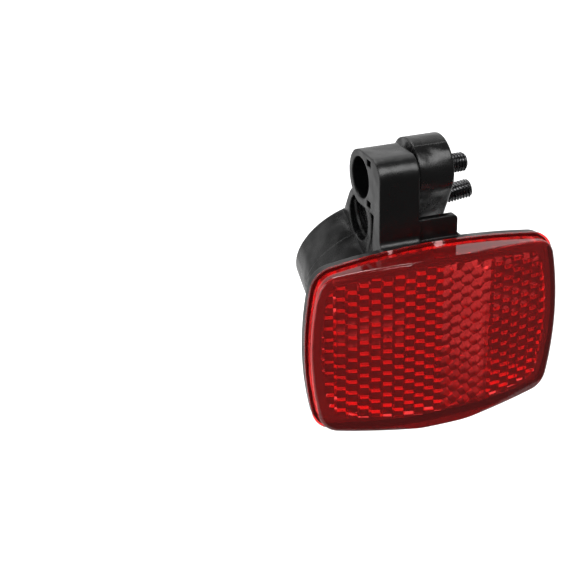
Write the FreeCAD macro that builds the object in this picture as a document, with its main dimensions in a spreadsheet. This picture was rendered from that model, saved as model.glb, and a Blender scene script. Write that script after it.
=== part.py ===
# Bicycle rear reflector on a seat-post clamp, in millimetres.
#
# The reflector stands upright and faces -Y, with +Z up. The origin is the centre
# of the clamp's bore, whose axis leans back in the folded position that is built.
# A red prism lens closes a black back housing. The housing's stem is pinned to
# the clamp's long ear by the pivot screw, and the clamp screw closes the ring.
import FreeCAD, Part
import math
import os

import Sketcher

Vector = FreeCAD.Vector

# Two places this near to each other, in millimetres, count as one.
NEAR = 1e-4

SIZES = [
    # clamp ring, whose axis leans by clamp_tilt from the vertical
    ("clamp_tilt", 62.5),
    ("bore_radius", 15.9),
    ("ring_wall", 3.6),
    ("ring_length", 19.0),
    ("ring_draft", 0.35),
    ("ring_edge", 0.5),
    ("hinge_slot", 1.5),
    ("hinge_skin", 0.9),
    # pivot ear on the right of the split, latch ear on the left of it
    ("split_gap", 1.8),
    ("pivot_reach", 39.6),
    ("pivot_ear_radius", 8.45),
    ("pivot_ear_width", 9.5),
    ("latch_ear_radius", 8.2),
    ("latch_ear_width", 8.1),
    ("latch_reach", 23.8),
    ("ear_round", 0.6),
    # screws and nuts
    ("screw_radius", 2.5),
    ("screw_clearance", 0.08),
    ("head_radius", 4.75),
    ("head_height", 3.6),
    ("head_crown", 1.2),
    ("head_recess", 2.0),
    ("recess_arm", 2.6),
    ("recess_blade", 0.9),
    ("pivot_screw_length", 20.0),
    ("clamp_screw_length", 25.0),
    ("screw_point", 0.6),
    ("screw_skew", 9.3),
    ("nut_flats", 8.0),
    ("nut_height", 4.0),
    ("nut_clearance", 0.08),
    ("counterbore_radius", 5.4),
    ("counterbore_depth", 8.7),
    ("latch_bore_depth", 6.0),
    ("latch_step_radius", 6.0),
    ("latch_step_depth", 1.2),
    # swivel between the stem and the pivot ear
    ("swivel_gap", 1.8),
    ("stem_offset", 0.6),
    ("swivel_pad_radius", 5.6),
    ("swivel_clearance", 0.1),
    # stem of the back housing, from the lens centre
    ("stem_width", 10.6),
    ("stem_barrel_radius", 7.15),
    ("stem_front", 2.3),
    ("stem_top_round", 5.0),
    ("stem_leg", 3.6),
    ("stem_leg_growth", 1.1),
    ("stem_root_round", 2.1),
    ("pivot_height", 38.4),
    ("pivot_setback", 14.35),
    ("rib_drop", 13.0),
    ("rib_sink", 0.3),
    ("core_width", 2.4),
    ("core_height", 1.7),
    ("core_depth", 6.0),
    ("core_rise", 5.35),
    ("core_setback", 5.3),
    # fin beside the stem
    ("fin_width", 10.5),
    ("fin_overlap", 2.6),
    ("fin_thickness", 1.9),
    ("fin_height", 29.6),
    ("fin_round", 1.2),
    # outline shared by the lens and the housing
    ("lens_shift", 2.4),
    ("lens_width", 68.0),
    ("lens_height", 47.2),
    ("top_bow", 2.6),
    ("side_bow", 2.8),
    ("corner_round", 5.6),
    # lens
    ("lens_depth", 7.9),
    ("lens_side_depth", 3.6),
    ("lens_facet", 21.8),
    ("lens_round", 1.2),
    ("flange_lip", 0.8),
    ("flange_thickness", 0.7),
    # prisms
    ("prism_pitch", 3.1),
    ("prism_wall", 3.2),
    ("middle_cant", 12.5),
    ("flank_cant", 25.0),
    ("prism_border", 3.2),
    ("prism_corner", 3.0),
    ("panel_width", 12.8),
    # tray of the back housing
    ("tray_lip", 0.4),
    ("tray_depth", 4.4),
    ("tray_wall", 1.5),
    ("tray_floor", 1.6),
    ("tray_bevel", 1.8),
]

doc = FreeCAD.newDocument("rear_reflector")
sheet = doc.addObject("Spreadsheet::Sheet", "Sizes")
for row, (alias, number) in enumerate(SIZES, start=1):
    sheet.set(f"A{row}", alias)
    sheet.set(f"B{row}", str(number))
    sheet.setAlias(f"B{row}", alias)
doc.recompute()


class Size:
    """A length or angle that keeps its number together with its sheet formula."""

    def __init__(self, number, text):
        self.number = float(number)
        self.text = text

    def joined(self, other, sign, number):
        return Size(number, f"({self.text} {sign} {as_size(other).text})")

    def __add__(self, other):
        return self.joined(other, "+", self.number + as_size(other).number)

    def __sub__(self, other):
        return self.joined(other, "-", self.number - as_size(other).number)

    def __mul__(self, other):
        return self.joined(other, "*", self.number * as_size(other).number)

    def __truediv__(self, other):
        return self.joined(other, "/", self.number / as_size(other).number)

    def __neg__(self):
        return Size(-self.number, f"(-1 * {self.text})")


def as_size(value):
    if isinstance(value, Size):
        return value
    return Size(value, f"({float(value)})")


def cosine(angle):
    return Size(math.cos(math.radians(angle.number)), f"cos({angle.text})")


def sine(angle):
    return Size(math.sin(math.radians(angle.number)), f"sin({angle.text})")


S = {alias: Size(sheet.get(alias), f"Sizes.{alias}") for alias, number in SIZES}


def spot(x=0, y=0, z=0, axis="0; 0; 1", angle=0):
    """Formula of a placement: a point, and a turn about an axis."""
    point = "; ".join(as_size(value).text for value in (x, y, z))
    return f"placement(vector({point}); rotation(vector({axis}); {as_size(angle).text}))"


def new_body(name):
    body = doc.addObject("PartDesign::Body", name)
    body.Label = name
    return body


def new_sketch(body, name, plane, offset=None):
    """Empty sketch on one of the body's own origin planes, moved by a placement formula."""
    sketch = body.newObject("Sketcher::SketchObject", name)
    support = [item for item in body.Origin.OriginFeatures if item.Role == plane][0]
    sketch.AttachmentSupport = [(support, "")]
    sketch.MapMode = "FlatFace"
    if offset:
        sketch.setExpression("AttachmentOffset", offset)
    return sketch


def dimension(sketch, kind, geometry, point, value):
    """Signed distance of a point from the sketch's origin, tied to the sheet."""
    size = as_size(value)
    index = sketch.addConstraint(Sketcher.Constraint(kind, -1, 1, geometry, point, size.number))
    sketch.setExpression(f"Constraints[{index}]", size.text)


def radius(sketch, geometry, value):
    index = sketch.addConstraint(Sketcher.Constraint("Radius", geometry, value.number))
    sketch.setExpression(f"Constraints[{index}]", value.text)


def add_circle(sketch, x, y, size):
    centre = Vector(as_size(x).number, as_size(y).number, 0)
    geometry = sketch.addGeometry(Part.Circle(centre, Vector(0, 0, 1), size.number), False)
    dimension(sketch, "DistanceX", geometry, 3, x)
    dimension(sketch, "DistanceY", geometry, 3, y)
    radius(sketch, geometry, size)


def add_loop(sketch, corners, arcs=None):
    """Closed outline through corners; arcs gives, by corner number, the radius and bulge
    of the arc that leaves it: bulge 1 to the left of its chord, -1 to the right."""
    arcs = arcs or {}
    points = [Vector(as_size(x).number, as_size(y).number, 0) for x, y in corners]
    edges = []
    for number, start in enumerate(points):
        end = points[(number + 1) % len(points)]
        if number in arcs:
            size, bulge = arcs[number]
            edge = shorter_arc(start, end, size.number, bulge)
        else:
            edge = Part.LineSegment(start, end)
        edges.append(sketch.addGeometry(edge, False))
    order = [ends(sketch, edge, point) for edge, point in zip(edges, points)]
    for number, edge in enumerate(edges):
        dimension(sketch, "DistanceX", edge, order[number][0], corners[number][0])
        dimension(sketch, "DistanceY", edge, order[number][0], corners[number][1])
    for number, edge in enumerate(edges):
        follower = (number + 1) % len(edges)
        sketch.addConstraint(Sketcher.Constraint(
            "Coincident", edge, order[number][1], edges[follower], order[follower][0]))
        if number in arcs:
            radius(sketch, edge, arcs[number][0])


def ends(sketch, geometry, start):
    """Numbers of an edge's first and last point, seen from the given start."""
    edge = sketch.Geometry[geometry]
    first = edge.StartPoint.distanceToPoint(start) <= edge.EndPoint.distanceToPoint(start)
    return (1, 2) if first else (2, 1)


def shorter_arc(start, end, size, bulge):
    """Shorter arc of a radius over a chord, bulging to its left (1) or right (-1)."""
    chord = end - start
    inset = math.sqrt(max(size * size - (chord.Length / 2) ** 2, 0.0))
    side = Vector(-chord.y, chord.x, 0)
    side.normalize()
    centre = (start + end) * 0.5 - side * (inset * bulge)
    first, last = (end, start) if bulge > 0 else (start, end)
    begin = math.atan2(first.y - centre.y, first.x - centre.x)
    finish = math.atan2(last.y - centre.y, last.x - centre.x)
    if finish < begin:
        finish += 2 * math.pi
    return Part.ArcOfCircle(Part.Circle(centre, Vector(0, 0, 1), size), begin, finish)


def pad(body, sketch, name, length, reverse=False, middle=False):
    feature = body.newObject("PartDesign::Pad", name)
    feature.Profile = sketch
    feature.setExpression("Length", as_size(length).text)
    feature.Reversed = reverse
    feature.SideType = "Symmetric" if middle else "One side"
    doc.recompute()
    return feature


def pocket(body, sketch, name, length, reverse=False, middle=False):
    """Cut that is checked to have removed material."""
    before = body.Shape.Volume
    feature = body.newObject("PartDesign::Pocket", name)
    feature.Profile = sketch
    feature.setExpression("Length", as_size(length).text)
    feature.Reversed = reverse
    feature.SideType = "Symmetric" if middle else "One side"
    doc.recompute()
    if body.Shape.Volume >= before:
        raise RuntimeError(f"{name} cuts nothing")
    return feature


def revolve(body, sketch, name, kind="PartDesign::Revolution"):
    feature = body.newObject(kind, name)
    feature.Profile = sketch
    feature.ReferenceAxis = (sketch, ["V_Axis"])
    feature.Angle = 360.0
    doc.recompute()
    return feature


def round_edges(body, name, size, chosen, kind="PartDesign::Fillet"):
    """Fillet or chamfer on the edges that the chooser picks from the body's tip."""
    base = body.Tip
    names = [f"Edge{number}" for number, edge in enumerate(base.Shape.Edges, start=1) if chosen(edge)]
    if not names:
        raise RuntimeError(f"{name} finds no edge")
    feature = body.newObject(kind, name)
    feature.Base = (base, names)
    feature.setExpression("Size" if kind.endswith("Chamfer") else "Radius", size.text)
    doc.recompute()
    return feature


def lies_on(edge, axis, place):
    """True for an edge whose ends and middle lie on the plane axis = place."""
    middle = edge.valueAt((edge.FirstParameter + edge.LastParameter) / 2)
    points = [vertex.Point for vertex in edge.Vertexes] + [middle]
    return all(abs(point[axis] - place) < NEAR for point in points)


# Places that several pieces share.
outer_radius = S["bore_radius"] + S["ring_wall"]
half_length = S["ring_length"] / 2
stem_right = -S["stem_offset"]
pivot_ear_left = stem_right + S["swivel_gap"]
pivot_ear_right = pivot_ear_left + S["pivot_ear_width"]
split_left = pivot_ear_left - S["split_gap"]
latch_ear_left = split_left - S["latch_ear_width"]
stem_left = stem_right - S["stem_width"]
swivel_pad = (S["swivel_gap"] - S["swivel_clearance"]) / 2
shank_bore = S["screw_radius"] + S["screw_clearance"]
pocket_flats = S["nut_flats"] + S["nut_clearance"] * 2

# The clamp's own frame has Z along the bore and Y pointing away from the ears.
clamp_spot = spot(axis="1; 0; 0", angle=-S["clamp_tilt"])
pivot_y = -S["pivot_reach"]
latch_y = -S["latch_reach"]


def along_latch(travel):
    """Place on the clamp screw's axis, measured from the latch ear's outer face.
    The screw runs askew, because the latch ear closes like a door."""
    return spot(latch_y - travel * sine(S["screw_skew"]), 0,
                latch_ear_left + travel * cosine(S["screw_skew"]),
                axis="0; 1; 0", angle=-S["screw_skew"])


# A turn that lays a sketch's own frame on the clamp's YZ plane.
ear_plane = spot(axis="1; 1; 1", angle=120)
latch_seat = S["latch_bore_depth"]
latch_exit = (pivot_ear_right - latch_ear_left) / cosine(S["screw_skew"])
pivot_seat = stem_left + S["counterbore_depth"]

# The lens frame has its origin at the middle of the flange plane.
pivot_back = -(S["pivot_reach"] * cosine(S["clamp_tilt"]))
pivot_up = S["pivot_reach"] * sine(S["clamp_tilt"])
lens_spot = spot(S["lens_shift"], pivot_back - S["pivot_setback"], pivot_up - S["pivot_height"])
stem_left_here = stem_left - S["lens_shift"]
stem_right_here = stem_right - S["lens_shift"]


def hexagon(sketch, x, y, flats):
    """Hexagon with two flats square to the sketch's first axis."""
    corner = flats / math.sqrt(3)
    half = flats / 2
    x, y = as_size(x), as_size(y)
    add_loop(sketch, [
        (x, y + corner),
        (x - half, y + corner / 2),
        (x - half, y - corner / 2),
        (x, y - corner),
        (x + half, y - corner / 2),
        (x + half, y + corner / 2),
    ])


# Clamp: split ring with a film hinge, a long pivot ear and a short latch ear.
def make_clamp():
    body = new_body("clamp")

    # The ears are U-shaped slabs that run down into the ring's wall.
    ear_foot = -(S["bore_radius"] - S["ring_wall"])
    outline = new_sketch(body, "pivot_ear_outline", "YZ_Plane", spot(z=pivot_ear_left))
    size = S["pivot_ear_radius"]
    add_loop(outline, [
        (ear_foot, size), (pivot_y, size), (pivot_y - size, 0), (pivot_y, -size), (ear_foot, -size),
    ], arcs={1: (size, -1), 2: (size, -1)})
    pad(body, outline, "pivot_ear", S["pivot_ear_width"])
    round_edges(body, "pivot_ear_round", S["ear_round"],
                lambda edge: lies_on(edge, 0, pivot_ear_right.number))

    # The latch ear widens from its round end to the ring's full length.
    outline = new_sketch(body, "latch_ear_outline", "YZ_Plane", spot(z=latch_ear_left))
    size = S["latch_ear_radius"]
    wide = half_length - S["ring_draft"] - S["ring_edge"]
    add_loop(outline, [
        (ear_foot, wide), (-S["bore_radius"], wide), (latch_y, size), (latch_y - size, 0),
        (latch_y, -size), (-S["bore_radius"], -wide), (ear_foot, -wide),
    ], arcs={2: (size, -1), 3: (size, -1)})
    pad(body, outline, "latch_ear", S["latch_ear_width"])
    round_edges(body, "latch_ear_round", S["ear_round"],
                lambda edge: lies_on(edge, 0, latch_ear_left.number))

    # The band thins towards both ends from the parting line at its middle.
    section = new_sketch(body, "band_section", "XZ_Plane")
    end_radius = outer_radius - S["ring_draft"]
    add_loop(section, [
        (S["bore_radius"] - S["ring_wall"], -half_length),
        (end_radius - S["ring_edge"], -half_length),
        (end_radius, -half_length + S["ring_edge"]),
        (outer_radius, 0),
        (end_radius, half_length - S["ring_edge"]),
        (end_radius - S["ring_edge"], half_length),
        (S["bore_radius"] - S["ring_wall"], half_length),
    ])
    revolve(body, section, "band")

    # The bore is cut last, so that the ears end at its wall.
    section = new_sketch(body, "bore_section", "XZ_Plane")
    mouth = S["bore_radius"] + S["ring_edge"] * 2
    add_loop(section, [
        (0, -half_length - S["ring_edge"]),
        (mouth, -half_length - S["ring_edge"]),
        (S["bore_radius"], -half_length + S["ring_edge"]),
        (S["bore_radius"], half_length - S["ring_edge"]),
        (mouth, half_length + S["ring_edge"]),
        (0, half_length + S["ring_edge"]),
    ])
    revolve(body, section, "bore", "PartDesign::Groove")

    slot = new_sketch(body, "split_outline", "XY_Plane")
    add_loop(slot, [
        (split_left, -outer_radius - S["ring_wall"]),
        (pivot_ear_left, -outer_radius - S["ring_wall"]),
        (pivot_ear_left, 0),
        (split_left, 0),
    ])
    pocket(body, slot, "split", S["ring_length"] * 2, middle=True)

    slot = new_sketch(body, "hinge_outline", "XY_Plane")
    add_loop(slot, [
        (-(outer_radius - S["hinge_skin"]), -S["hinge_slot"] / 2),
        (0, -S["hinge_slot"] / 2),
        (0, S["hinge_slot"] / 2),
        (-(outer_radius - S["hinge_skin"]), S["hinge_slot"] / 2),
    ])
    pocket(body, slot, "film_hinge", S["ring_length"] * 2, middle=True)

    # The raised ring that the stem swivels against.
    face = new_sketch(body, "swivel_outline", "YZ_Plane", spot(z=pivot_ear_left))
    add_circle(face, pivot_y, 0, S["swivel_pad_radius"])
    pad(body, face, "swivel_pad", swivel_pad, reverse=True)

    shank = new_sketch(body, "pivot_shank_circle", "YZ_Plane")
    add_circle(shank, pivot_y, 0, shank_bore)
    pocket(body, shank, "pivot_bore", S["pivot_ear_width"] * 4, middle=True)
    seat = new_sketch(body, "pivot_nut_hexagon", "YZ_Plane", spot(z=pivot_ear_right))
    hexagon(seat, pivot_y, 0, pocket_flats)
    pocket(body, seat, "pivot_nut_pocket", S["nut_height"] + S["nut_clearance"])

    # Counterbore, shank bore and nut pocket of the clamp screw, all on its skewed axis.
    lead = S["latch_step_depth"]
    sketch = new_sketch(body, "latch_step_circle", "YZ_Plane", along_latch(-lead))
    add_circle(sketch, 0, 0, S["latch_step_radius"])
    pocket(body, sketch, "latch_step", lead * 2, reverse=True)
    sketch = new_sketch(body, "latch_counterbore_circle", "YZ_Plane", along_latch(-lead))
    add_circle(sketch, 0, 0, S["counterbore_radius"])
    pocket(body, sketch, "latch_counterbore", lead + latch_seat, reverse=True)
    sketch = new_sketch(body, "clamp_shank_circle", "YZ_Plane", along_latch(as_size(0)))
    add_circle(sketch, 0, 0, shank_bore)
    pocket(body, sketch, "clamp_bore", latch_exit * 2, reverse=True)
    nut_floor = latch_exit - S["nut_height"] - S["nut_clearance"]
    sketch = new_sketch(body, "clamp_nut_hexagon", "YZ_Plane", along_latch(nut_floor))
    hexagon(sketch, 0, 0, pocket_flats)
    pocket(body, sketch, "clamp_nut_pocket", S["nut_height"] * 2, reverse=True)
    body.setExpression("Placement", clamp_spot)
    return body


# Screws: pan head with a cross recess, and a plain shank at the thread's crest.
def make_screw(name, length, place):
    body = new_body(name)
    section = new_sketch(body, name + "_section", "XZ_Plane")
    crown = S["head_crown"]
    add_loop(section, [
        (0, -S["head_height"]),
        (S["head_radius"] - crown, -S["head_height"]),
        (S["head_radius"], -S["head_height"] + crown),
        (S["head_radius"], 0),
        (S["screw_radius"], 0),
        (S["screw_radius"], length - S["screw_point"]),
        (S["screw_radius"] - S["screw_point"], length),
        (0, length),
    ], arcs={1: (crown, -1)})
    revolve(body, section, name + "_turned")
    cross = new_sketch(body, name + "_cross", "XY_Plane", spot(z=-S["head_height"]))
    arm, blade = S["recess_arm"], S["recess_blade"] / 2
    add_loop(cross, [
        (arm, -blade), (arm, blade), (blade, blade), (blade, arm), (-blade, arm), (-blade, blade),
        (-arm, blade), (-arm, -blade), (-blade, -blade), (-blade, -arm), (blade, -arm), (blade, -blade),
    ])
    pocket(body, cross, name + "_recess", S["head_recess"], reverse=True)
    body.setExpression("Placement", f"{clamp_spot} * {place} * {ear_plane}")
    return body


def make_nut(name, place):
    body = new_body(name)
    outline = new_sketch(body, name + "_hexagon", "XY_Plane")
    hexagon(outline, 0, 0, S["nut_flats"])
    pad(body, outline, name + "_blank", S["nut_height"])
    hole = new_sketch(body, name + "_circle", "XY_Plane")
    add_circle(hole, 0, 0, S["screw_radius"])
    pocket(body, hole, name + "_hole", S["nut_height"] * 2, middle=True)
    body.setExpression("Placement", f"{clamp_spot} * {place} * {ear_plane}")
    return body


def on_pivot(x):
    """Place on the pivot axis in the clamp's frame."""
    return spot(x, pivot_y, 0)


def on_latch(travel):
    """Place on the clamp screw's axis in the clamp's frame."""
    return spot(latch_ear_left + travel * cosine(S["screw_skew"]),
                latch_y - travel * sine(S["screw_skew"]), 0, angle=-S["screw_skew"])


# Outline of the lens and the housing: four shallow arcs and round corners.
def bowed_corners(growth):
    across = S["lens_width"] / 2 - S["side_bow"] + growth
    up = S["lens_height"] / 2 - S["top_bow"] + growth
    flat = (across * across + S["top_bow"] * S["top_bow"]) / (S["top_bow"] * 2)
    side = (up * up + S["side_bow"] * S["side_bow"]) / (S["side_bow"] * 2)
    corners = [(across, up), (-across, up), (-across, -up), (across, -up)]
    arcs = {0: (flat, -1), 1: (side, -1), 2: (flat, -1), 3: (side, -1)}
    return corners, arcs


def bowed_outline(body, name, growth):
    """Sketch of the outline in the XZ plane."""
    sketch = new_sketch(body, name, "XZ_Plane")
    corners, arcs = bowed_corners(as_size(growth))
    add_loop(sketch, corners, arcs)
    return sketch


def runs_back(edge, ends_at):
    """True for a straight edge along Y that ends at a given depth."""
    first, last = edge.Vertexes[0].Point, edge.Vertexes[-1].Point
    straight = abs(first.x - last.x) < NEAR and abs(first.z - last.z) < NEAR
    return straight and min(abs(first.y - ends_at), abs(last.y - ends_at)) < NEAR


def make_housing():
    body = new_body("back_housing")
    lip = S["tray_lip"]
    outline = bowed_outline(body, "tray_outline", lip)
    pad(body, outline, "tray", S["tray_depth"], reverse=True)
    depth = S["tray_depth"].number
    round_edges(body, "tray_corners", S["corner_round"] + lip, lambda edge: runs_back(edge, depth))
    round_edges(body, "tray_bevel", S["tray_bevel"], lambda edge: lies_on(edge, 1, depth),
                kind="PartDesign::Chamfer")

    # The stem's side view: barrel, arm, leg, and a rib that fades down the back.
    wall_top = S["lens_height"] / 2 - S["tray_wall"] / 2
    root = wall_top + S["stem_root_round"] + S["tray_wall"] / 2 + lip / 2
    front, turn, barrel = S["stem_front"], S["stem_top_round"], S["stem_barrel_radius"]
    axis_y, axis_z = S["pivot_setback"], S["pivot_height"]
    inner = front + S["stem_leg"]
    heel = inner + S["stem_leg_growth"]
    profile = new_sketch(body, "stem_profile", "YZ_Plane", spot(z=stem_left_here))
    add_loop(profile, [
        (front - S["stem_root_round"], root - S["stem_root_round"]),
        (front, root),
        (front, axis_z + barrel - turn),
        (front + turn, axis_z + barrel),
        (axis_y, axis_z + barrel),
        (axis_y + barrel, axis_z),
        (axis_y, axis_z - barrel),
        (inner, axis_z - barrel),
        (heel, wall_top),
        (S["tray_depth"] - S["rib_sink"], wall_top - S["rib_drop"]),
        (front, wall_top - S["rib_drop"]),
        (front, wall_top - S["stem_root_round"]),
        (front - S["stem_root_round"], wall_top - S["stem_root_round"]),
    ], arcs={0: (S["stem_root_round"], -1), 2: (turn, 1), 4: (barrel, 1), 5: (barrel, 1)})
    pad(body, profile, "stem", S["stem_width"])

    # Fin beside the stem, with a round shoulder and a flared foot.
    fin = new_sketch(body, "fin_profile", "XZ_Plane", spot(z=-front))
    left, right = stem_right_here - S["fin_overlap"], stem_right_here + S["fin_width"]
    top, round_off, foot = S["fin_height"], S["fin_round"], root - S["stem_root_round"]
    add_loop(fin, [
        (left, wall_top - S["tray_wall"]),
        (right + round_off, wall_top - S["tray_wall"]),
        (right + round_off, foot),
        (right, foot + round_off),
        (right, top - round_off),
        (right - round_off, top),
        (left, top),
    ], arcs={2: (round_off, 1), 4: (round_off, -1)})
    pad(body, fin, "fin", S["fin_thickness"], reverse=True)

    # Hollow behind the lens, cut after the stem so that it stays clear.
    hollow = bowed_outline(body, "hollow_outline", lip - S["tray_wall"])
    pocket(body, hollow, "hollow", S["tray_depth"] - S["tray_floor"])

    # Swivel face, pivot bore and counterbore.
    face = new_sketch(body, "stem_pad_circle", "YZ_Plane", spot(axis_y, axis_z, stem_right_here))
    add_circle(face, 0, 0, S["swivel_pad_radius"])
    pad(body, face, "stem_pad", swivel_pad)
    face = new_sketch(body, "stem_bore_circle", "YZ_Plane", spot(axis_y, axis_z, stem_left_here))
    add_circle(face, 0, 0, shank_bore)
    pocket(body, face, "stem_bore", S["stem_width"] * 2, reverse=True)
    face = new_sketch(body, "counterbore_circle", "YZ_Plane", spot(axis_y, axis_z, stem_left_here))
    add_circle(face, 0, 0, S["counterbore_radius"])
    pocket(body, face, "counterbore", S["counterbore_depth"], reverse=True)

    # Two narrow core slots between the barrel and the front wall.
    slot_y = axis_y - S["core_setback"]
    for name, slot_z in (("upper", axis_z + S["core_rise"]), ("lower", axis_z - S["core_rise"])):
        slot = new_sketch(body, name + "_core_outline", "YZ_Plane", spot(slot_y, slot_z, stem_left_here))
        half_width, half_height = S["core_width"] / 2, S["core_height"] / 2
        add_loop(slot, [
            (-half_width, -half_height), (half_width, -half_height),
            (half_width, half_height), (-half_width, half_height),
        ])
        pocket(body, slot, name + "_core", S["core_depth"], reverse=True)
    body.setExpression("Placement", lens_spot)
    return body


# Lens: faceted front, a thin welding flange, and prisms cut into its back.
def make_lens_blank():
    body = new_body("lens_blank")
    lip = S["flange_lip"]
    outline = bowed_outline(body, "flange_outline", lip)
    pad(body, outline, "flange", S["flange_thickness"])
    outline = bowed_outline(body, "lens_outline", 0)
    pad(body, outline, "lens_block", S["lens_depth"])
    front_plane = -S["lens_depth"].number
    round_edges(body, "lens_corners", S["corner_round"], lambda edge: runs_back(edge, front_plane))
    round_edges(body, "flange_corners", S["corner_round"] + lip, lambda edge: runs_back(edge, 0.0))

    # Both flanks of the front fall back from the flat middle.
    depth, side = S["lens_depth"], S["lens_side_depth"]
    edge_x, kink = S["lens_width"] / 2, S["lens_facet"] / 2
    over = S["lens_round"]
    fall = (depth - side) / (edge_x - kink) * over
    front = new_sketch(body, "front_profile", "XY_Plane")
    add_loop(front, [
        (-edge_x - over, -depth - over),
        (edge_x + over, -depth - over),
        (edge_x + over, fall - side),
        (kink, -depth),
        (-kink, -depth),
        (-edge_x - over, fall - side),
    ])
    pocket(body, front, "front_facets", S["lens_height"] * 2, middle=True)
    rim = -(side - over / 2).number
    kink_x = kink.number

    def on_rim(edge):
        points = [vertex.Point for vertex in edge.Vertexes]
        kink_line = all(abs(abs(point.x) - kink_x) < NEAR for point in points)
        return all(point.y < rim for point in points) and not kink_line

    round_edges(body, "lens_rim", S["lens_round"], on_rim)
    return body


def cube_corner_block(width, height, slope, cant, mirrored):
    """Solid behind a sheet of cube corners that leans by slope about Z. Every cell is a
    hexagonal pin whose end has three square faces that meet at a tip. The pins are
    canted to the sheet, so each column of them stands a step behind its neighbour."""
    pitch = S["prism_pitch"].number
    step = pitch / math.sqrt(6)
    rim = pitch / math.sqrt(3)
    column = pitch * math.sqrt(3) / 2
    back = S["lens_depth"].number * 3
    lean = math.radians(slope + cant)
    lag = -math.tan(math.radians(cant))
    first = 1 if mirrored else 0
    reach = int((width / 2 + 2 * pitch) / column) + 1
    stack = int(height / 2 / pitch) + 2

    faces = []
    sides = {}
    for i in range(-reach, reach + 1):
        for j in range(-stack, stack + 1):
            x = i * column
            z = (j + (i % 2) / 2) * pitch
            level = x * lag
            tip = Vector(x, level + step, z)
            corners = []
            for number in range(6):
                angle = math.radians(60 * number)
                rise = 0 if number % 2 == first else -step
                corners.append(Vector(round(x + rim * math.cos(angle), 6), level + rise,
                                      round(z + rim * math.sin(angle), 6)))
            for number in (first, first + 2, first + 4):
                faces.append([tip, corners[number % 6], corners[(number + 1) % 6],
                              corners[(number + 2) % 6]])
            for number in range(6):
                start, end = corners[number], corners[(number + 1) % 6]
                key = frozenset(((start.x, start.z), (end.x, end.z)))
                sides.setdefault(key, []).append((start, end))

    # Pins side by side share a rim or a step; the outermost ones get an outer wall.
    follow = {}
    for pair in sides.values():
        start, end = pair[0]
        if len(pair) == 2:
            other_end, other_start = pair[1]
            if start.distanceToPoint(other_start) > NEAR:
                faces.append([start, end, other_end, other_start])
        else:
            low_start, low_end = Vector(start.x, back, start.z), Vector(end.x, back, end.z)
            faces.append([start, end, low_end, low_start])
            follow[(start.x, start.z)] = low_end
    ring = [next(iter(follow.values()))]
    while len(ring) < len(follow):
        ring.append(follow[(ring[-1].x, ring[-1].z)])
    faces.append(ring)
    shell = Part.makeShell([Part.Face(Part.makePolygon(face + [face[0]])) for face in faces])
    block = Part.Solid(shell)
    if block.Volume < 0:
        block.reverse()
    block.rotate(Vector(0, 0, 0), Vector(0, 0, 1), math.degrees(lean))
    return block


# Prism field: four panels side by side, two behind the flat middle and one behind each
# flank, all as far behind the front. The third one is a mirror image of the second.
def make_prism_field():
    corners, arcs = bowed_corners(-S["prism_border"])
    points = [Vector(x.number, z.number, 0) for x, z in corners]
    sides = []
    for number, start in enumerate(points):
        size, bulge = arcs[number]
        end = points[(number + 1) % len(points)]
        sides.append(shorter_arc(start, end, size.number, bulge).toShape())
    outline = Part.Face(Part.Wire(sides))
    thick = S["lens_depth"].number
    outline.translate(Vector(0, 0, -thick))
    field = outline.extrude(Vector(0, 0, 2 * thick))
    upright = [edge for edge in field.Edges if abs(edge.Vertexes[0].Z - edge.Vertexes[-1].Z) > thick]
    field = field.makeFillet(S["prism_corner"].number, upright)
    field.rotate(Vector(0, 0, 0), Vector(1, 0, 0), 90)

    reach = S["lens_width"].number / 2
    panel = S["panel_width"].number
    height = S["lens_height"].number
    kink = S["lens_facet"].number / 2
    fall = (thick - S["lens_side_depth"].number) / (reach - kink)
    tilt = math.degrees(math.atan(fall))
    middle, flank = S["middle_cant"].number, S["flank_cant"].number
    tools = []
    for left, right, slope, cant, mirrored in ((-reach, -panel, -tilt, flank, False),
                                               (-panel, 0.0, 0.0, middle, False),
                                               (0.0, panel, 0.0, -middle, True),
                                               (panel, reach, tilt, flank, False)):
        window = Part.makeBox(right - left, 2 * thick, height, Vector(left, -thick, -height / 2))
        block = cube_corner_block(right - left, height, slope, cant, mirrored)
        centre = (left + right) / 2
        depth = S["prism_wall"].number - thick
        if slope:
            depth += (abs(centre) - kink) * fall
        block.translate(Vector(centre, depth, 0))
        tools.append(block.common(window.common(field)))
    cutter = doc.addObject("Part::Feature", "prism_field")
    cutter.Shape = tools[0].multiFuse(tools[1:])
    return cutter


def make_lens():
    lens = doc.addObject("Part::Cut", "lens")
    lens.Label = "lens"
    lens.Base = make_lens_blank()
    lens.Tool = make_prism_field()
    lens.setExpression("Placement", lens_spot)
    return lens


nodes = [
    make_clamp(),
    make_housing(),
    make_lens(),
    make_screw("pivot_screw", S["pivot_screw_length"], on_pivot(pivot_seat)),
    make_nut("pivot_nut", on_pivot(pivot_ear_right - S["nut_height"])),
    make_screw("clamp_screw", S["clamp_screw_length"], on_latch(latch_seat)),
    make_nut("clamp_nut", on_latch(latch_exit - S["nut_height"])),
]
doc.recompute()

for item in doc.Objects:
    if "Invalid" in item.State or "Error" in item.State:
        raise RuntimeError(f"{item.Name} failed: {item.State}")
for node in nodes:
    if node.Shape.isNull() or not node.Shape.isValid() or not node.Shape.Solids:
        raise RuntimeError(f"{node.Label} has no valid solid")

os.makedirs("parts", exist_ok=True)
for node in nodes:
    node.Shape.exportStep(f"parts/{node.Label}.step")
    box = node.Shape.BoundBox
    print(f"{node.Label}: {len(node.Shape.Solids)} solid, {node.Shape.Volume:.0f} mm3, "
          f"{box.XLength:.1f} x {box.YLength:.1f} x {box.ZLength:.1f} mm")
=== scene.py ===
# %% [markdown]
# # Bicycle rear reflector
# A red prism lens closes a black tray. The tray's stem swings on a moulded clamp that
# grips a seat post. The CAD part holds every size; this lesson gives it its looks.
# Lengths of the part are in millimetres until they are handed to Blender in metres. The
# studio round it is laid out in metres.

# %% Load the CAD part
import math

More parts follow.
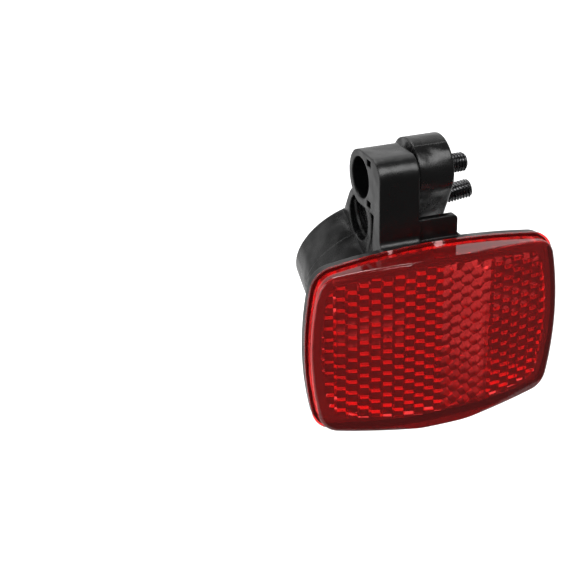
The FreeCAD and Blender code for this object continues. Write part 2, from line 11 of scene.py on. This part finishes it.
import bmesh
import bpy
from mathutils import Matrix, Vector


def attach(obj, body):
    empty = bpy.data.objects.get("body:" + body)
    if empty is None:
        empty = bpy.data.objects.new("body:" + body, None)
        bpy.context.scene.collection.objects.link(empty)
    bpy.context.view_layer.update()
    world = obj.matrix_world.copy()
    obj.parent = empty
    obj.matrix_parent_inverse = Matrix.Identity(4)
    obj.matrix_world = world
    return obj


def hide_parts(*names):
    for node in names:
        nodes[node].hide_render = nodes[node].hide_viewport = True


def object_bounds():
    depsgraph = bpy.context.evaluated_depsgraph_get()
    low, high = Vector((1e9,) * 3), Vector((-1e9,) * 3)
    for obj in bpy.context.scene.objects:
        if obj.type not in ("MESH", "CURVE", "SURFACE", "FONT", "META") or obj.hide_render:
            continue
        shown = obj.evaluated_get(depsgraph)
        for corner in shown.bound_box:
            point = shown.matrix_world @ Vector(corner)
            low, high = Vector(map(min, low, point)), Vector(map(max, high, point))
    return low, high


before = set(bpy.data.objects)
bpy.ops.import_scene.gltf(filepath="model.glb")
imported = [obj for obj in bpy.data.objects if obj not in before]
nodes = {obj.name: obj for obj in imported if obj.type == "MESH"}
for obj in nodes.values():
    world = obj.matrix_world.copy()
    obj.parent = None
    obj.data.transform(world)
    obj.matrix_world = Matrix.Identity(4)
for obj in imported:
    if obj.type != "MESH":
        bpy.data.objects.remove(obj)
cad_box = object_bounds()
MM = 0.001
print("nodes:", sorted(nodes))

# %% [markdown]
# ## Camera
# The place of the camera was solved from the photograph: edges of the lens, the stem
# and the ring were matched with their places on the part. It could also be turned by
# hand until the view looks right, but with a solved camera every edge can be compared.
# It looks down by about 26 degrees and from the left by about 19, through a long lens.

# %% Camera
YAW, PITCH, ROLL = (math.radians(angle) for angle in (-19.19, 25.60, -1.61))
DISTANCE, ACROSS, UP = 330.4, 36.62, -10.53
LENS_CENTRE = Vector((2.4, -32.635, -3.274))
FOCAL_LENGTH, SENSOR_WIDTH = 81, 36


def in_scene(name, data):
    """A new object that is part of the scene."""
    made = bpy.data.objects.new(name, data)
    bpy.context.scene.collection.objects.link(made)
    return made


towards_eye = Vector((
    math.sin(YAW) * math.cos(PITCH), -math.cos(YAW) * math.cos(PITCH), math.sin(PITCH)))
level_right = Vector((math.cos(YAW), math.sin(YAW), 0))
level_up = towards_eye.cross(level_right)
picture_right = level_right * math.cos(ROLL) + level_up * math.sin(ROLL)
picture_up = level_up * math.cos(ROLL) - level_right * math.sin(ROLL)
eye = LENS_CENTRE + towards_eye * DISTANCE - picture_right * ACROSS - picture_up * UP

camera_data = bpy.data.cameras.new("photo_camera")
camera_data.sensor_width = SENSOR_WIDTH
camera_data.lens = FOCAL_LENGTH
camera_data.clip_start = 10 * MM
camera = in_scene("photo_camera", camera_data)
turn = Matrix((picture_right, picture_up, towards_eye)).transposed()
camera.matrix_world = Matrix.Translation(eye * MM) @ turn.to_4x4()
bpy.context.scene.camera = camera
print("camera at", [round(value, 1) for value in eye], "mm")

# %% [markdown]
# ## Sums on sockets
# A node's output that knows + - * and / lets a pattern be written as a formula. Nodes
# could also be made and linked one by one, but a formula says more in less room. The
# same class serves shader trees and geometry trees, because both have Math nodes.

# %% A wire between nodes
class Wire:
    """An output socket that takes part in ordinary sums."""

    def __init__(self, bench, socket):
        self.bench = bench
        self.socket = socket

    def __add__(self, other):
        return self.bench.math("ADD", self, other)

    def __sub__(self, other):
        return self.bench.math("SUBTRACT", self, other)

    def __mul__(self, other):
        return self.bench.math("MULTIPLY", self, other)

    def __truediv__(self, other):
        return self.bench.math("DIVIDE", self, other)

    def __rsub__(self, other):
        return self.bench.math("SUBTRACT", other, self)

    __radd__ = __add__
    __rmul__ = __mul__


# %% A bench for one tree
class Bench:
    """Lays nodes on one tree."""

    def __init__(self, tree):
        self.tree = tree
        tree.nodes.clear()

    def node(self, kind, settings=None, sockets=None):
        made = self.tree.nodes.new(kind)
        for name, value in (settings or {}).items():
            setattr(made, name, value)
        for name, value in (sockets or {}).items():
            if isinstance(value, Wire):
                self.tree.links.new(value.socket, made.inputs[name])
            else:
                made.inputs[name].default_value = value
        return made

    def wire(self, kind, output, settings=None, sockets=None):
        return Wire(self, self.node(kind, settings, sockets).outputs[output])

    def math(self, operation, *terms):
        return self.wire("ShaderNodeMath", 0, {"operation": operation}, dict(enumerate(terms)))

    def noise(self, place, scale, detail=2.0):
        return self.wire("ShaderNodeTexNoise", "Fac", None,
                         {"Vector": place, "Scale": scale, "Detail": detail})

    def mix(self, factor, first, second):
        """Blend of two colours, which a Mix node takes at its sockets 6 and 7."""
        return self.wire("ShaderNodeMix", 2, {"data_type": "RGBA"}, {0: factor, 6: first, 7: second})

    def ramp(self, value, start, end, first, last, course="LINEAR"):
        """Take a value that goes from start to end to one that goes from first to last."""
        return self.wire("ShaderNodeMapRange", 0, {"interpolation_type": course},
                         {0: value, 1: start, 2: end, 3: first, 4: last})

    def principled(self, sockets):
        return self.wire("ShaderNodeBsdfPrincipled", "BSDF", None, sockets)

    def show(self, surface, output="ShaderNodeOutputMaterial"):
        self.node(output, None, {"Surface": surface})


# %% [markdown]
# ## Black moulded plastic
# The bracket is glossy black plastic with a soft sheen. It is nearly black, so what
# shows is mostly its reflections, and they wander a little: a moulding shrinks as it
# cools, and its skin takes the tool's polish unevenly. A painted picture could give this,
# but noise needs no picture and fits every piece. Two sizes of noise change the roughness,
# and a bump moves the highlights. A thin ridge runs where the halves of the mould met. A
# Bevel node blends the normals across each edge, for the bright line of a moulded edge.

# %% New finish
NOISE_MEAN = 0.5
CLAMP_TILT = math.radians(62.5)
ALONG_BORE = (0, math.sin(CLAMP_TILT), math.cos(CLAMP_TILT))
PARTING_WIDTH = 0.15 * MM


def new_finish(name):
    finish = bpy.data.materials.new(name)
    finish.use_nodes = True
    return finish, Bench(finish.node_tree)


def parting_line(bench, place, across):
    """Height of the thin ridge where two halves of a mould met, on a plane through the origin."""
    off_plane = bench.math("ABSOLUTE", bench.wire(
        "ShaderNodeVectorMath", "Value", {"operation": "DOT_PRODUCT"}, {0: place, 1: across}))
    return bench.ramp(off_plane, 0.0, PARTING_WIDTH, 1.0, 0.0)


# %% Black moulded plastic
WAVES_PER_METRE, GRAINS_PER_METRE = 140.0, 1600.0
GRAIN_HEIGHT, PARTING_HEIGHT = 0.012, 0.1
WAVE_SHEEN, GRAIN_SHEEN = 0.16, 0.08
EDGE_ROUNDING = 0.7 * MM


def black_plastic(name, shade, sheen, dents, across):
    """Nearly black, with dents of a given depth in mm; across is square to the parting line."""
    finish, bench = new_finish(name)
    place = bench.wire("ShaderNodeTexCoord", "Object")
    waves = bench.noise(place, WAVES_PER_METRE, 1.5)
    grain = bench.noise(place, GRAINS_PER_METRE)
    darker = (shade * 0.8, shade * 0.8, shade * 0.8, 1)
    lighter = (shade * 1.2, shade * 1.2, shade * 1.22, 1)
    tone = bench.mix(waves, darker, lighter)
    ridge = parting_line(bench, place, across) * PARTING_HEIGHT
    height = (grain * GRAIN_HEIGHT + waves) * dents + ridge
    rounded = bench.wire("ShaderNodeBevel", 0, {"samples": 6}, {"Radius": EDGE_ROUNDING})
    bump = bench.wire("ShaderNodeBump", "Normal", None, {
        "Strength": 1.0, "Distance": MM, "Height": height, "Normal": rounded})
    uneven = (waves - NOISE_MEAN) * WAVE_SHEEN + (grain - NOISE_MEAN) * GRAIN_SHEEN
    bench.show(bench.principled({
        "Base Color": tone, "Roughness": uneven + sheen, "IOR": 1.5, "Normal": bump}))
    return finish


clamp_black = black_plastic("clamp_black", 0.004, 0.27, 0.9, ALONG_BORE)
housing_black = black_plastic("housing_black", 0.003, 0.30, 0.6, (1, 0, 0))
print("plastics:", clamp_black.name, housing_black.name)

# %% [markdown]
# ## Blackened steel
# The screws and nuts are steel with a black oxide skin. Black plastic would do from far
# away, but a metal keeps its sheen at every angle, and its skin is cloudy, so the finish
# is a dark metal whose roughness varies.

# %% Blackened steel
CLOUDS_PER_METRE, CLOUD_SHEEN = 900.0, 0.2


def black_steel(name, shade, roughness):
    finish, bench = new_finish(name)
    place = bench.wire("ShaderNodeTexCoord", "Object")
    clouds = bench.noise(place, CLOUDS_PER_METRE)
    bench.show(bench.principled({
        "Base Color": (shade, shade, shade * 1.02, 1),
        "Metallic": 1.0,
        "Roughness": (clouds - NOISE_MEAN) * CLOUD_SHEEN + roughness,
    }))
    return finish


screw_black = black_steel("screw_black", 0.16, 0.25)
nut_black = black_steel("nut_black", 0.10, 0.35)
print("steels:", screw_black.name, nut_black.name)

# %% [markdown]
# ## Clear red acrylic
# The lens is solid red acrylic: light goes in through the polished face, bounces in the
# cube corners of its back and comes out again. A bump could only hint at that, so the
# prisms are real geometry, and the finish is clear red glass. Where the moulding was
# broken off its gate, and where the rim is chipped, the plastic is torn: pale and rough.

# %% Clear red acrylic
TEARS_PER_METRE, TEAR_REACH = 1800.0, 1.6
TEAR_START, TEAR_END = 0.25, 0.45
TORN_SPOTS = [((3.4, -33.0, 20.9), 1.9), ((-9.6, -33.0, 20.6), 1.0)]


def red_acrylic(name, tint, torn_spots):
    """Clear red, but pale and rough at the torn spots, given by their places and radii in mm."""
    finish, bench = new_finish(name)
    place = bench.wire("ShaderNodeTexCoord", "Object")
    ragged = (bench.noise(place, TEARS_PER_METRE) - NOISE_MEAN) * TEAR_REACH
    torn = 0.0
    for spot, radius in torn_spots:
        away = bench.wire("ShaderNodeVectorMath", "Value", {"operation": "DISTANCE"},
                          {0: place, 1: [value * MM for value in spot]})
        torn = bench.math("MAXIMUM", torn, 1 - away / (radius * MM))
    share = bench.ramp(torn + ragged, TEAR_START, TEAR_END, 0.0, 1.0)
    share = share * bench.math("GREATER_THAN", torn, 0.0)
    clear = bench.principled({
        "Base Color": tint, "Roughness": 0.02, "IOR": 1.49, "Transmission Weight": 0.91})
    pale = bench.principled({"Base Color": (0.72, 0.36, 0.36, 1), "Roughness": 0.6})
    bench.show(bench.wire("ShaderNodeMixShader", 0, None, {0: share, 1: clear, 2: pale}))
    return finish


lens_red = red_acrylic("lens_red", (0.84, 0.046, 0.046, 1), TORN_SPOTS)
print("acrylic:", lens_red.name, "with", len(TORN_SPOTS), "torn spots")

# %% [markdown]
# ## Mouldings
# A CAD node comes in as loose triangles. A merged copy becomes the piece that is seen:
# flat neighbours are joined again, and each edge is told whether it is a crease or only
# a line between two facets of one curve. A bevel modifier would round the creases too,
# but it tears the ring's thin hinge, so the finish rounds them in its shading.

# %% Merged copy
WELD = 0.0005 * MM
FLAT_WITHIN = math.radians(0.5)


def welded(mesh):
    """An editable copy of a mesh, with its loose triangles joined at their corners."""
    shape = bmesh.new()
    shape.from_mesh(mesh)
    bmesh.ops.remove_doubles(shape, verts=shape.verts, dist=WELD)
    return shape


def merged_copy(node, name):
    shape = welded(nodes[node].data)
    bmesh.ops.dissolve_limit(
        shape, angle_limit=FLAT_WITHIN, verts=shape.verts, edges=shape.edges)
    mesh = bpy.data.meshes.new(name)
    shape.to_mesh(mesh)
    shape.free()
    return in_scene(name, mesh)


# %% Smooth and sharp edges
BROAD_FACE = 20 * MM * MM


def plain_mesh(piece):
    """The evaluated shape of a piece as a mesh of its own."""
    depsgraph = bpy.context.evaluated_depsgraph_get()
    return bpy.data.meshes.new_from_object(piece.evaluated_get(depsgraph))


def smooth_below(piece, angle):
    """Smooth shading, sharp where two faces meet at more than the angle or where both are
    broad. Broad faces then rule the normals at their rims, so that they stay flat."""
    piece.data.shade_smooth()
    shape = bmesh.new()
    shape.from_mesh(piece.data)
    for edge in shape.edges:
        bent = len(edge.link_faces) != 2 or edge.calc_face_angle(0) > math.radians(angle)
        broad = all(face.calc_area() > BROAD_FACE for face in edge.link_faces)
        edge.smooth = not (bent or broad)
    shape.to_mesh(piece.data)
    shape.free()
    weighted = piece.modifiers.new("normals", "WEIGHTED_NORMAL")
    weighted.keep_sharp = True
    weighted.weight = 100
    shaded = plain_mesh(piece)
    piece.modifiers.clear()
    piece.data = shaded


# %% The three mouldings
def finish_piece(piece, body, finish, node):
    piece.data.materials.append(finish)
    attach(piece, body)
    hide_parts(node)
    print(piece.name, len(piece.data.polygons), "faces")


clamp = merged_copy("clamp", "clamp_moulding")
smooth_below(clamp, 40)
finish_piece(clamp, "bracket", clamp_black, "clamp")

housing = merged_copy("back_housing", "housing_moulding")
smooth_below(housing, 40)
finish_piece(housing, "reflector", housing_black, "back_housing")

lens = merged_copy("lens", "lens_moulding")
smooth_below(lens, 30)
finish_piece(lens, "reflector", lens_red, "lens")

# %% [markdown]
# ## Threaded screws
# A thread is a surface that follows a rule: its radius depends only on how far a point
# lies along the screw and round it. Sweeping a profile along a helix would leave joints to
# close. Instead a flat grid is wrapped into a tube, and a triangle wave of length minus
# turn pushes it out and in. The head is kept from the CAD screw.

# %% Inputs of the thread tree
THREAD_SIZES = {"Length": 20.0, "Crest": 2.5, "Depth": 0.5, "Pitch": 0.8, "Point": 0.6}
POINTS_ROUND, ROWS_PER_PITCH, END_ROWS = 41, 10.0, 3.0
# A steeper, lowered wave is cut off at 0 and 1, which leaves the crests and roots flat.
STEEPER, LOWERED = 1.35, 0.17
# The rows run a little past the end, and the last ones draw in to the axis and close it.
PAST_THE_END = 1.001
TUBE_SEAM = 0.001


def thread_inputs(tree):
    """Give the tree its named inputs and return their identifiers."""
    identifiers = {}
    for name, value in THREAD_SIZES.items():
        socket = tree.interface.new_socket(name, in_out="INPUT", socket_type="NodeSocketFloat")
        socket.default_value = value
        identifiers[name] = socket.identifier
    finish = tree.interface.new_socket("Finish", in_out="INPUT", socket_type="NodeSocketMaterial")
    identifiers["Finish"] = finish.identifier
    tree.interface.new_socket("Geometry", in_out="OUTPUT", socket_type="NodeSocketGeometry")
    return identifiers


# %% Thread tree
def thread_tree():
    tree = bpy.data.node_groups.new("thread", "GeometryNodeTree")
    identifiers = thread_inputs(tree)
    bench = Bench(tree)
    given = bench.node("NodeGroupInput")
    length, crest, depth, pitch, point = (Wire(bench, given.outputs[name]) for name in THREAD_SIZES)

    rows = bench.math("CEIL", length / pitch * ROWS_PER_PITCH)
    grid = bench.wire("GeometryNodeMeshGrid", "Mesh", None, {
        "Size X": 1.0, "Size Y": 1.0, "Vertices X": POINTS_ROUND, "Vertices Y": rows + END_ROWS})
    spot = bench.wire("GeometryNodeInputPosition", 0)
    parts = bench.node("ShaderNodeSeparateXYZ", None, {0: spot})
    angle = (Wire(bench, parts.outputs[0]) + 0.5) * (2 * math.pi)
    along = (Wire(bench, parts.outputs[1]) + 0.5) * length * PAST_THE_END
    wave = bench.math("PINGPONG", along / pitch - angle / (2 * math.pi), 0.5) * 2.0
    flattened = bench.wire("ShaderNodeClamp", 0, None, {
        0: wave * STEEPER - LOWERED, "Min": 0.0, "Max": 1.0})
    ridge = crest - depth + flattened * depth
    tapered = bench.math("MINIMUM", ridge, crest - point + (length - along))
    closed = tapered * bench.math("LESS_THAN", along, length)
    wrapped = bench.wire("ShaderNodeCombineXYZ", 0, None, {
        0: closed * bench.math("COSINE", angle),
        1: closed * bench.math("SINE", angle),
        2: bench.math("MINIMUM", along, length),
    })
    tube = bench.wire("GeometryNodeSetPosition", 0, None, {"Geometry": grid, "Position": wrapped})
    tube = bench.wire("GeometryNodeMergeByDistance", 0, None, {
        "Geometry": tube, "Distance": TUBE_SEAM})
    tube = bench.wire("GeometryNodeRealizeInstances", 0, None, {0: tube})
    tube = bench.wire("GeometryNodeSetMaterial", 0, None, {
        "Geometry": tube, "Material": Wire(bench, given.outputs["Finish"])})
    bench.node("NodeGroupOutput", None, {0: tube})
    return tree, identifiers


THREAD, THREAD_SOCKETS = thread_tree()
print("thread tree has", len(THREAD.nodes), "nodes")

# %% A threaded screw
# In the screw's own frame the head ends at height 0, and the shank is all that lies above.
HEAD_PLANE = 0.01


def thread_mesh(name, length):
    holder = in_scene(name + "_thread", bpy.data.meshes.new(name))
    wrap = holder.modifiers.new("thread", "NODES")
    wrap.node_group = THREAD
    wrap[THREAD_SOCKETS["Length"]] = length
    wrap[THREAD_SOCKETS["Finish"]] = screw_black
    thread = plain_mesh(holder)
    bpy.data.objects.remove(holder)
    return thread


def threaded_screw(node, name, length, place):
    """Head of the CAD screw on a new threaded shank; place turns the screw's own frame, in mm."""
    thread = thread_mesh(name, length)
    to_row = Matrix.Scale(MM, 4) @ place
    shape = welded(nodes[node].data)
    shape.transform(to_row.inverted())
    shank = [vertex for vertex in shape.verts if vertex.co.z > HEAD_PLANE]
    bmesh.ops.delete(shape, geom=shank, context="VERTS")
    shape.from_mesh(thread)
    bmesh.ops.recalc_face_normals(shape, faces=shape.faces)
    shape.transform(to_row)
    mesh = bpy.data.meshes.new(name)
    shape.to_mesh(mesh)
    shape.free()
    piece = in_scene(name, mesh)
    smooth_below(piece, 40)
    finish_piece(piece, "bracket", screw_black, node)


# %% Screws and nuts
TILT = Matrix.Rotation(-CLAMP_TILT, 4, "X")
ALONG_X = Matrix.Rotation(math.radians(120), 4, Vector((1, 1, 1)))
PIVOT_LEFT, PIVOT_REACH = -2.5, 39.6
LATCH_LEFT, LATCH_SEAT, LATCH_REACH = -8.7, 6.0, 23.8
SCREW_SKEW = math.radians(9.3)

pivot_place = TILT @ Matrix.Translation((PIVOT_LEFT, -PIVOT_REACH, 0)) @ ALONG_X
latch_across = LATCH_LEFT + LATCH_SEAT * math.cos(SCREW_SKEW)
latch_out = -LATCH_REACH - LATCH_SEAT * math.sin(SCREW_SKEW)
skewed = Matrix.Rotation(-SCREW_SKEW, 4, "Z")
latch_place = TILT @ Matrix.Translation((latch_across, latch_out, 0)) @ skewed @ ALONG_X
threaded_screw("pivot_screw", "pivot_screw_threaded", 20.0, pivot_place)
threaded_screw("clamp_screw", "clamp_screw_threaded", 25.0, latch_place)

for node in ("pivot_nut", "clamp_nut"):
    nodes[node].data.materials.clear()
    nodes[node].data.materials.append(nut_black)
    print(node, "is", nut_black.name)

# %% [markdown]
# ## Studio
# The part hangs a little above a white floor. A real sweep of paper would be white for
# the camera and for everything that the part mirrors. Light Path parts the two: the
# camera sees white, and so does the lens, because light that has gone through it is a
# transmission ray. Black gloss shows what it mirrors: a bright floor under and behind it,
# and a dim room in front, where the floor ends. The prisms look up as well as down, and
# the air above is dimmer for them, so that each panel keeps its own red.

# %% Floor
FLOOR_TOP = cad_box[0][2] - 0.03
FLOOR_FRONT, FLOOR_BACK, FLOOR_SIDE = -0.075, 4.0, 4.0
FLOOR_SEEN, FLOOR_THROUGH_LENS = 0.62, 0.9


def ray_kinds(bench, *kinds):
    """A wire for each kind of ray, 1 for rays of that kind and 0 for others."""
    rays = bench.node("ShaderNodeLightPath")
    return [Wire(bench, rays.outputs[f"Is {kind} Ray"]) for kind in kinds]


floor_mesh = bpy.data.meshes.new("floor")
floor_mesh.from_pydata([
    (-FLOOR_SIDE, FLOOR_FRONT, FLOOR_TOP), (FLOOR_SIDE, FLOOR_FRONT, FLOOR_TOP),
    (FLOOR_SIDE, FLOOR_BACK, FLOOR_TOP), (-FLOOR_SIDE, FLOOR_BACK, FLOOR_TOP),
], [], [(0, 1, 2, 3)])
floor = in_scene("floor", floor_mesh)
floor_white, bench = new_finish("floor_white")
seen, through = ray_kinds(bench, "Camera", "Transmission")
paint = bench.wire("ShaderNodeBsdfDiffuse", 0, None, {"Color": (0.8, 0.8, 0.8, 1)})
glow = bench.wire("ShaderNodeEmission", 0, None, {
    "Strength": seen * FLOOR_SEEN + through * FLOOR_THROUGH_LENS})
bench.show(bench.wire("ShaderNodeAddShader", 0, None, {0: paint, 1: glow}))
floor.data.materials.append(floor_white)
print("floor", round((cad_box[0][2] - FLOOR_TOP) / MM), "mm below the part")

# %% World
AIR, AIR_SEEN = 0.5, 0.5

world = bpy.data.worlds.new("studio")
bpy.context.scene.world = world
world.use_nodes = True
bench = Bench(world.node_tree)
seen, glossy, through = ray_kinds(bench, "Camera", "Glossy", "Transmission")
mirrored = glossy * (1 - through)
way = bench.node("ShaderNodeSeparateXYZ", None, {0: bench.wire("ShaderNodeTexCoord", "Generated")})
back = Wire(bench, way.outputs[1])
up = Wire(bench, way.outputs[2])
room = bench.ramp(back, 0.1, 0.6, -0.4, 0.4, "SMOOTHSTEP")
low_air = bench.ramp(up, -0.1, 0.5, 0.65, 0.1, "SMOOTHSTEP")
air = bench.wire("ShaderNodeBackground", 0, None, {
    "Color": (1, 1, 1, 1), "Strength": seen * AIR_SEEN + through * low_air + mirrored * room + AIR})
bench.show(air, "ShaderNodeOutputWorld")
print("world has", len(world.node_tree.nodes), "nodes")

# %% [markdown]
# ## Lamps
# An even white room would leave black gloss flat. Three square lamps, like the softboxes
# of a studio, draw the bright bands: one on the left, one high in front and one high
# behind. Their energy grows with their area, so a lamp's size changes the width of its
# band and not how bright its face is.

# %% Lamps
def softbox(name, place, aim, size, glow):
    """Square lamp whose face shines at a given level."""
    light = bpy.data.lights.new(name, "AREA")
    light.shape = "SQUARE"
    light.size = size
    light.energy = glow * math.pi * size * size
    lamp = in_scene(name, light)
    lamp.location = place
    lamp.rotation_euler = (Vector(aim) - Vector(place)).to_track_quat("-Z", "Y").to_euler()
    print(name, "gives", round(light.energy, 2), "W")


softbox("left_softbox", (-0.55, -0.12, 0.12), (0, -0.03, 0.0), 0.5, 2.0)
softbox("key_softbox", (0.15, -0.39, 0.48), (0, -0.03, 0.03), 0.30, 5.6)
softbox("top_softbox", (0.0, 0.22, 0.60), (0, -0.02, 0.02), 0.3, 6.0)
bpy.context.scene.view_settings.view_transform = "Standard"
